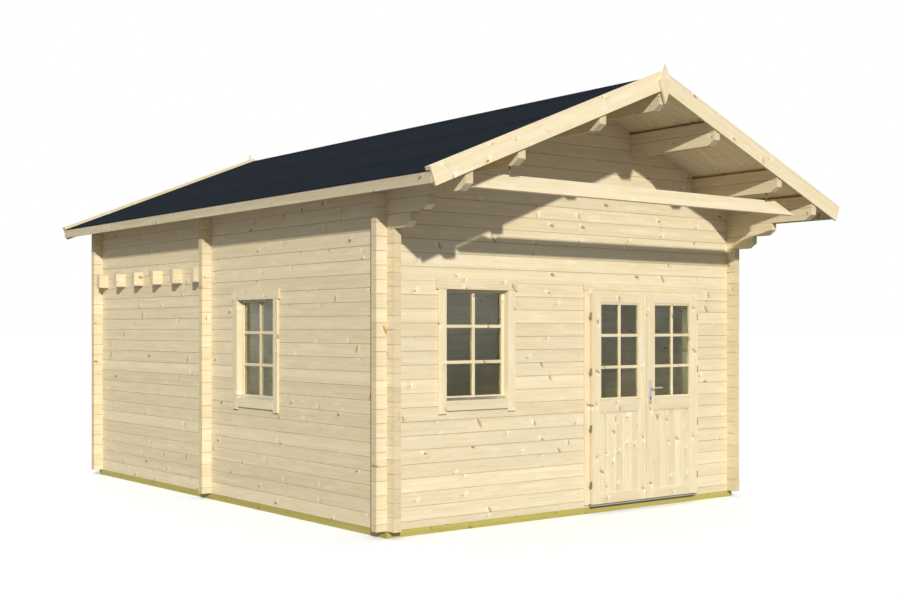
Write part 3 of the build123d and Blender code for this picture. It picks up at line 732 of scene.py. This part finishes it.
# door frame: two posts and a head, with a stop for the leaves on the inside
sh = Shape()
sh.box(P(2214, -20, 88), P(2260, 90, 1940), "board_zx", 0.002)
sh.box(P(3574, -20, 88), P(3620, 90, 1940), "board_zx", 0.002)
sh.box(P(2214, -20, 1940), P(3620, 90, 2010), "board_x", 0.002)
sh.build("door_posts", "house", ["door_frame"], "trim_wood")

# threshold: a ribbed strip with a rolled nose
sec = [(-60.0, 70.0), (-59.0, 77.0), (-56.5, 79.2), (-53.0, 80.0)]
yy = -50.0
while yy < 24:
    sec += [(yy, 80.0), (yy + 1.0, 78.9), (yy + 3.0, 78.9), (yy + 4.0, 80.0)]
    yy += 8.0
sec += [(29.0, 80.0), (30.0, 79.0), (30.0, 66.0), (20.0, 66.0), (-20.0, 66.0), (-52.0, 66.0), (-54.0, 73.0), (-57.0, 73.0), (-58.0, 70.0)]
sh = Shape()
sh.prism(sec, lambda end, a, b: P(2216.0 if end == 0 else 3618.0, a, b), "alu")
for i in range(5):
    cx = 2290 + i * 313.0
    ring = [(cx + 4.0 * math.cos(k * math.pi / 6), 4.0 * math.sin(k * math.pi / 6)) for k in range(12)]
    sh.prism(ring, lambda end, a, b: P(a, b + 10.0, 79.0 if end == 0 else 80.6), "bolt")
sh.build("threshold_profile", "house", ["threshold_strip"], "aluminium")

# --------------------------------------------------------------------- windows
WX0, WX1, WZ0, WZ1 = 590.0, 1256.0, 1057.0, 1991.0
GY0, GY1 = 52.0, 56.0


def front_place(x, y, z):
    return P(x, y, z)


def side_place(x, y, z):
    return P(y, 2084.0 + 923.0 - x, z - 57.0)


for tag, place, vert, horiz in (("front", front_place, "board_zx", "board_x"), ("side", side_place, "board_zy", "board_y")):
    def bx(sh, x0, x1, y0, y1, z0, z1, key, c=0.002, place=place):
        sh.box(place(x0, y0, z0), place(x1, y1, z1), key, c)

    sh = Shape()
    j, side, head, foot = 28.0, 25.0, 20.0, 45.0
    # lining boards of the opening
    bx(sh, WX0 - j, WX0, 0, 75, WZ0 - j, WZ1 + j, vert)
    bx(sh, WX1, WX1 + j, 0, 75, WZ0 - j, WZ1 + j, vert)
    bx(sh, WX0, WX1, 0, 75, WZ1, WZ1 + j, horiz)
    bx(sh, WX0, WX1, 0, 75, WZ0 - j, WZ0, horiz)
    # sash
    y0, y1 = 39.0, 75.0
    bx(sh, WX0, WX0 + side, y0, y1, WZ0, WZ1, vert)
    bx(sh, WX1 - side, WX1, y0, y1, WZ0, WZ1, vert)
    bx(sh, WX0 + side, WX1 - side, y0, y1, WZ1 - head, WZ1, horiz)
    bx(sh, WX0 + side, WX1 - side, y0, y1, WZ0, WZ0 + foot, horiz)
    gx0, gx1, gz0, gz1 = WX0 + side, WX1 - side, WZ0 + foot, WZ1 - head
    xc = (WX0 + WX1) / 2
    bars = [gz0 + (gz1 - gz0 - 56) / 3 + 14, gz0 + 2 * (gz1 - gz0 - 56) / 3 + 42]
    for lo, hi, e in ((y0 + 1.5, GY0, 1), (GY1, y1 - 1.5, 0)):
        m = 5.0
        bx(sh, gx0, gx0 + m, lo, hi, gz0, gz1, vert, 0.003)
        bx(sh, gx1 - m, gx1, lo, hi, gz0, gz1, vert, 0.003)
        bx(sh, gx0 + m, gx1 - m, lo, hi, gz0, gz0 + m, horiz, 0.003)
        bx(sh, gx0 + m, gx1 - m, lo, hi, gz1 - m, gz1, horiz, 0.003)
        bx(sh, xc - 15, xc + 15, lo, hi, gz0 + m, gz1 - m, vert, 0.004)
        for zc in bars:
            bx(sh, gx0 + m, xc - 15, lo, hi, zc - 14, zc + 14, horiz, 0.004)
            bx(sh, xc + 15, gx1 - m, lo, hi, zc - 14, zc + 14, horiz, 0.004)
    sh.build(tag + "_window_joinery", "house", [tag + "_window_frame"], "trim_wood")

    sh = Shape()
    w = 80.0
    bx(sh, WX0 - w, WX0, -20, 0, 965, WZ1 - 0.3, vert, 0.0025)
    bx(sh, WX1, WX1 + w, -20, 0, 965, WZ1 - 0.3, vert, 0.0025)
    bx(sh, WX0 - w - 25, WX1 + w + 25, -20, 0, WZ1, WZ1 + 95, horiz, 0.0025)
    bx(sh, WX0 + 0.3, WX1 - 0.3, -20, 0, 989, 1073, horiz, 0.0025)
    sh.build(tag + "_window_architrave", "house", [tag + "_window_casing"], "trim_wood")

# ------------------------------------------------------------------- hardware
LX, LZ = 2958.0, 1115.0


def ring_face(cx, cz, r, n=24, ry=None):
    ry = ry or r
    return [(cx + r * math.cos(2 * math.pi * k / n), cz + ry * math.sin(2 * math.pi * k / n)) for k in range(n)]


def rounded(x0, x1, z0, z1, r, n=6):
    pts = []
    for cx, cz, a0 in ((x1 - r, z1 - r, 0), (x0 + r, z1 - r, 90), (x0 + r, z0 + r, 180), (x1 - r, z0 + r, 270)):
        for k in range(n + 1):
            w = math.radians(a0 + 90.0 * k / n)
            pts.append((cx + r * math.cos(w), cz + r * math.sin(w)))
    return pts


def stepped(sh, section, inset, y_back, y_mid, y_front, key, cx, cz):
    """A plate whose front edge is rounded off towards the middle."""
    n = len(section)

    def shrink(p, k):
        dx, dz = p[0] - cx, p[1] - cz
        lx = max(abs(q[0] - cx) for q in section)
        lz = max(abs(q[1] - cz) for q in section)
        return (cx + dx * (lx - k) / lx, cz + dz * (lz - k) / lz)

    layers = [(0.0, y_back), (0.0, y_mid), (inset * 0.35, y_mid + (y_front - y_mid) * 0.7), (inset, y_front)]
    verts = [P(*(lambda q: (q[0], yv, q[1]))(shrink(p, k))) for k, yv in layers for p in section]
    faces = []
    for j in range(len(layers) - 1):
        for i in range(n):
            i2 = (i + 1) % n
            faces.append([j * n + i, j * n + i2, (j + 1) * n + i2, (j + 1) * n + i])
    faces.append(list(range(n))[::-1])
    faces.append([(len(layers) - 1) * n + i for i in range(n)])
    sh.solid(verts, faces, key, True)


sh = Shape()
for back, mid, front, out in ((-60.0, -64.5, -68.0, -1), (-25.0, -20.5, -17.0, 1)):
    stepped(sh, rounded(2938, 2978, 968, 1190, 7.0), 3.2, back, mid, front, "steel", LX, 1079.0)
    # lever rose, lock cylinder with its keyway, two screws
    stepped(sh, ring_face(LX, LZ, 13.5), 2.0, front, front + out * 0.8, front + out * 1.4, "steel", LX, LZ)
    stepped(sh, ring_face(LX, 1026.0, 8.6), 1.2, front, front + out * 0.9, front + out * 1.5, "rod", LX, 1026.0)
    stepped(sh, rounded(LX - 5.0, LX + 5.0, 1004.0, 1022.0, 4.9), 1.0, front, front + out * 0.9, front + out * 1.4, "rod", LX, 1013.0)
    a0, a1 = front + out * 1.2, front + out * 1.75
    # painted shade: a near-black disc and slot on the cylinder stand in for the shaded keyway
    sh.prism(ring_face(LX, 1025.0, 6.6, 20), lambda end, a, b: P(a, a0 if end == 0 else a1, b), "hole_shade", False)
    sh.box(P(LX - 3.6, min(a0, a1), 1006.0), P(LX + 3.6, max(a0, a1), 1021.0), "hole_shade", 0.0003)
    for zc in (979.0, 1179.0):
        stepped(sh, ring_face(LX, zc, 3.6, 14), 1.4, front, front + out * 0.6, front + out * 1.3, "bolt", LX, zc)
        # painted shade: a near-black bar across each screw head stands in for its shaded slot
        b0, b1 = front + out * 1.0, front + out * 1.45
        sh.box(P(LX - 2.4, min(b0, b1), zc - 0.45), P(LX + 2.4, max(b0, b1), zc + 0.45), "hole_shade", 0.0001)
sh.build("lock_plates", "right_leaf", ["handle_plates"], "steel")

sh = Shape()
for start, out in ((-69.8, -1), (-15.2, 1)):
    far = -106.0 if out < 0 else 21.0
    pts, rad = [], []
    for k in range(4):
        pts.append(P(LX, start + (far - out * 12 - start) * k / 3, LZ))
        rad.append((0.0092, 0.0080, 0.0074, 0.0070)[k])
    for k in range(1, 7):                       # round the bend
        w = math.radians(90.0 * k / 6)
        pts.append(P(LX + 12 * (1 - math.cos(w)), far - out * 12 + out * 12 * math.sin(w), LZ))
        rad.append(0.0068)
    for k in range(1, 9):
        d = k / 8
        pts.append(P(LX + 12 + 104 * d, far - out * 1.2 * math.sin(d * 3.1), LZ + 1.6 * math.sin(d * 3.1)))
        rad.append(0.0066 + 0.0009 * math.sin(d * 2.6))
    for k in range(1, 5):                       # the tip turns a little towards the door
        w = math.radians(62.0 * k / 4)
        pts.append(P(LX + 116 + 10 * math.sin(w), far - out * 10 * (1 - math.cos(w)), LZ))
        rad.append((0.0069, 0.0062, 0.0050, 0.0028)[k - 1])
    sh.sweep(pts, rad, "steel", 18, 1.0)
sh.sweep([P(LX, y, LZ) for y in (-69.0, -40.0, -16.0)], [0.0045] * 3, "bolt", 12)
sh.build("lever_pair", "lever", ["lever_handle"], "steel")

# domed caps over the hinge barrels, and domed feet under them
for tag, ax, edge, body in (("left", 2206.0, 2216.0, "left_leaf"), ("right", 3628.0, 3618.0, "right_leaf")):
    top, low = Shape(), Shape()
    for z in (232.0, 738.0, 1248.0, 1750.0):
        top.sweep([P(ax, -50, z + 60.0 + d) for d in (-0.5, 1.0, 2.4, 3.4)],
                  [0.0082, 0.0082, 0.0062, 0.0022], "hinge", 14)
        low.sweep([P(ax, -50, z - d) for d in (-0.5, 1.0, 2.4, 3.4)],
                  [0.0082, 0.0082, 0.0062, 0.0022], "hinge", 14)
    top.build("hinge_caps_" + tag, body, slot="hinge_steel")
    low.build("hinge_feet_" + tag, "house", slot="hinge_steel")

# nuts and washers where the rods pass through the tie beam and the purlins
sh = Shape()
for s in (-1, 1):
    cx = 2100.0 + s * 1552.0
    for z0, z1 in ((2825.0, 2826.6), (2905.4, 2907.0)):
        sh.prism(ring_face(cx, -855.0, 11.0, 24), lambda end, a, b: P(a, b, z0 if end == 0 else z1), "rod", False)
    for z0, z1 in ((2826.6, 2833.0), (2899.0, 2905.4)):
        sh.prism(ring_face(cx, -855.0, 7.5, 6), lambda end, a, b: P(a, b, z0 if end == 0 else z1), "rod", False)
sh.build("tie_rod_nuts", "house", slot="steel")


# soft edges on the plain beams and boards that come over from the model
def soften(node, width):
    o = NODES[node]
    mod = o.modifiers.new("soft_edges", "BEVEL")
    mod.width = width
    mod.segments = 1
    mod.limit_method = "ANGLE"
    mod.angle_limit = math.radians(50)


for node, width in (("foundation_front", 0.003), ("foundation_rear", 0.003), ("foundation_sides", 0.003),
                    ("foundation_middle", 0.003), ("floor_joists", 0.003), ("loft_joists", 0.003),
                    ("tie_beam", 0.003), ("fascia_boards", 0.002), ("barge_boards_front", 0.003),
                    ("barge_boards_rear", 0.003), ("verge_caps", 0.002), ("finials", 0.002), ("door_sill", 0.002)):
    soften(node, width)

# ---------------------------------------------------------------- studio, light
def floor_material():
    t = Tree("studio_floor")
    x, y, z = t.coords()
    n = t.noise(t.com(x, y, z), 0.6, 3.0, 0.5)
    t.surface(Base_Color=t.mix(n, (0.900, 0.900, 0.900), (0.925, 0.925, 0.925)), Roughness=0.9, Specular_IOR_Level=0.1,
              Emission_Color=(1.0, 1.0, 1.0), Emission_Strength=0.10)
    return t.mat


me = bpy.data.meshes.new("studio_floor")
N = 96
R = 600.0
verts = [(0, 0, 0)] + [(R * math.cos(2 * math.pi * k / N), R * math.sin(2 * math.pi * k / N), 0) for k in range(N)]
me.from_pydata(verts, [], [[0, 1 + k, 1 + (k + 1) % N] for k in range(N)])
me.materials.append(floor_material())
floor = bpy.data.objects.new("studio_floor", me)
bpy.context.scene.collection.objects.link(floor)
floor.visible_diffuse = False
floor.visible_glossy = False


def sun(name, travel, strength, angle, colour):
    li = bpy.data.lights.new(name, "SUN")
    li.energy = strength
    li.angle = math.radians(angle)
    li.color = colour
    o = bpy.data.objects.new(name, li)
    o.rotation_euler = Vector(travel).to_track_quat("-Z", "Y").to_euler()
    bpy.context.scene.collection.objects.link(o)
    return o


sun("key_light", (0.503, 0.802, -0.385), 3.74, 1.4, (1.0, 0.995, 0.985))
sun("top_fill", (0.05, 0.10, -1.0), 0.80, 70.0, (1.0, 1.0, 1.0))
sun("back_fill", (-0.55, -0.80, -0.24), 1.15, 40.0, (1.0, 0.99, 0.98))
# it only lifts the far sides, with no sheen on the felt towards the front
bpy.data.objects["back_fill"].visible_glossy = False

world = bpy.data.worlds.new("studio")
bpy.context.scene.world = world
world.use_nodes = True
wn = world.node_tree
wn.nodes.clear()
wo = wn.nodes.new("ShaderNodeOutputWorld")
lit = wn.nodes.new("ShaderNodeBackground")
lit.inputs[0].default_value = (0.93, 1.0, 1.14, 1)
lit.inputs[1].default_value = 0.335
seen = wn.nodes.new("ShaderNodeBackground")
seen.inputs[0].default_value = (1.0, 1.0, 1.0, 1)
seen.inputs[1].default_value = 1.0
path = wn.nodes.new("ShaderNodeLightPath")
# what glass and metal mirror: a light room above, a darker one below
tc = wn.nodes.new("ShaderNodeTexCoord")
xyz = wn.nodes.new("ShaderNodeSeparateXYZ")
wn.links.new(tc.outputs["Generated"], xyz.inputs[0])
rise = wn.nodes.new("ShaderNodeMapRange")
rise.interpolation_type = "SMOOTHSTEP"
rise.inputs["From Min"].default_value = -0.085
rise.inputs["From Max"].default_value = 0.025
wn.links.new(xyz.outputs[2], rise.inputs["Value"])
tones = wn.nodes.new("ShaderNodeMix")
tones.data_type = "RGBA"
wn.links.new(rise.outputs["Result"], tones.inputs[0])
tones.inputs[6].default_value = (0.42, 0.35, 0.13, 1)
tones.inputs[7].default_value = (1.58, 1.54, 1.36, 1)
mirror = wn.nodes.new("ShaderNodeBackground")
cloud = wn.nodes.new("ShaderNodeTexNoise")
wn.links.new(tc.outputs["Generated"], cloud.inputs["Vector"])
cloud.inputs["Scale"].default_value = 16.0
cloud.inputs["Detail"].default_value = 4.0
cloud.inputs["Roughness"].default_value = 0.6
uneven = wn.nodes.new("ShaderNodeMapRange")
uneven.inputs["From Min"].default_value = 0.36
uneven.inputs["From Max"].default_value = 0.62
uneven.inputs["To Min"].default_value = 0.62
uneven.inputs["To Max"].default_value = 1.16
wn.links.new(cloud.outputs["Fac"], uneven.inputs["Value"])
dapple = wn.nodes.new("ShaderNodeVectorMath")
dapple.operation = "SCALE"
wn.links.new(tones.outputs[2], dapple.inputs[0])
wn.links.new(uneven.outputs["Result"], dapple.inputs["Scale"])
wn.links.new(dapple.outputs[0], mirror.inputs[0])
sharp = wn.nodes.new("ShaderNodeMath")
sharp.operation = "MULTIPLY_ADD"
wn.links.new(path.outputs["Is Singular Ray"], sharp.inputs[0])
sharp.inputs[1].default_value = 0.42
sharp.inputs[2].default_value = 0.58
wn.links.new(sharp.outputs[0], mirror.inputs[1])
glossy = wn.nodes.new("ShaderNodeMixShader")
wn.links.new(path.outputs["Is Glossy Ray"], glossy.inputs[0])
wn.links.new(lit.outputs[0], glossy.inputs[1])
wn.links.new(mirror.outputs[0], glossy.inputs[2])
mixer = wn.nodes.new("ShaderNodeMixShader")
wn.links.new(path.outputs["Is Camera Ray"], mixer.inputs[0])
wn.links.new(glossy.outputs[0], mixer.inputs[1])
wn.links.new(seen.outputs[0], mixer.inputs[2])
wn.links.new(mixer.outputs[0], wo.inputs[0])

view = bpy.context.scene.view_settings
view.view_transform = "Standard"
view.look = "None"
view.exposure = 0.0
view.gamma = 1.0

# ---------------------------------------------------------------------- camera
cam = bpy.data.cameras.new("camera")
cam.sensor_fit = "HORIZONTAL"
cam.sensor_width = 36.0
cam.lens = 50.64
cam.shift_x = 0.0
cam.shift_y = 0.03227
cam.clip_start = 0.1
cam.clip_end = 2000.0
cam_obj = bpy.data.objects.new("camera", cam)
cam_obj.location = (-7.88892, -10.68062, 1.66352)
cam_obj.rotation_euler = (math.radians(90.0), 0.0, math.radians(-38.051))
bpy.context.scene.collection.objects.link(cam_obj)
bpy.context.scene.camera = cam_obj
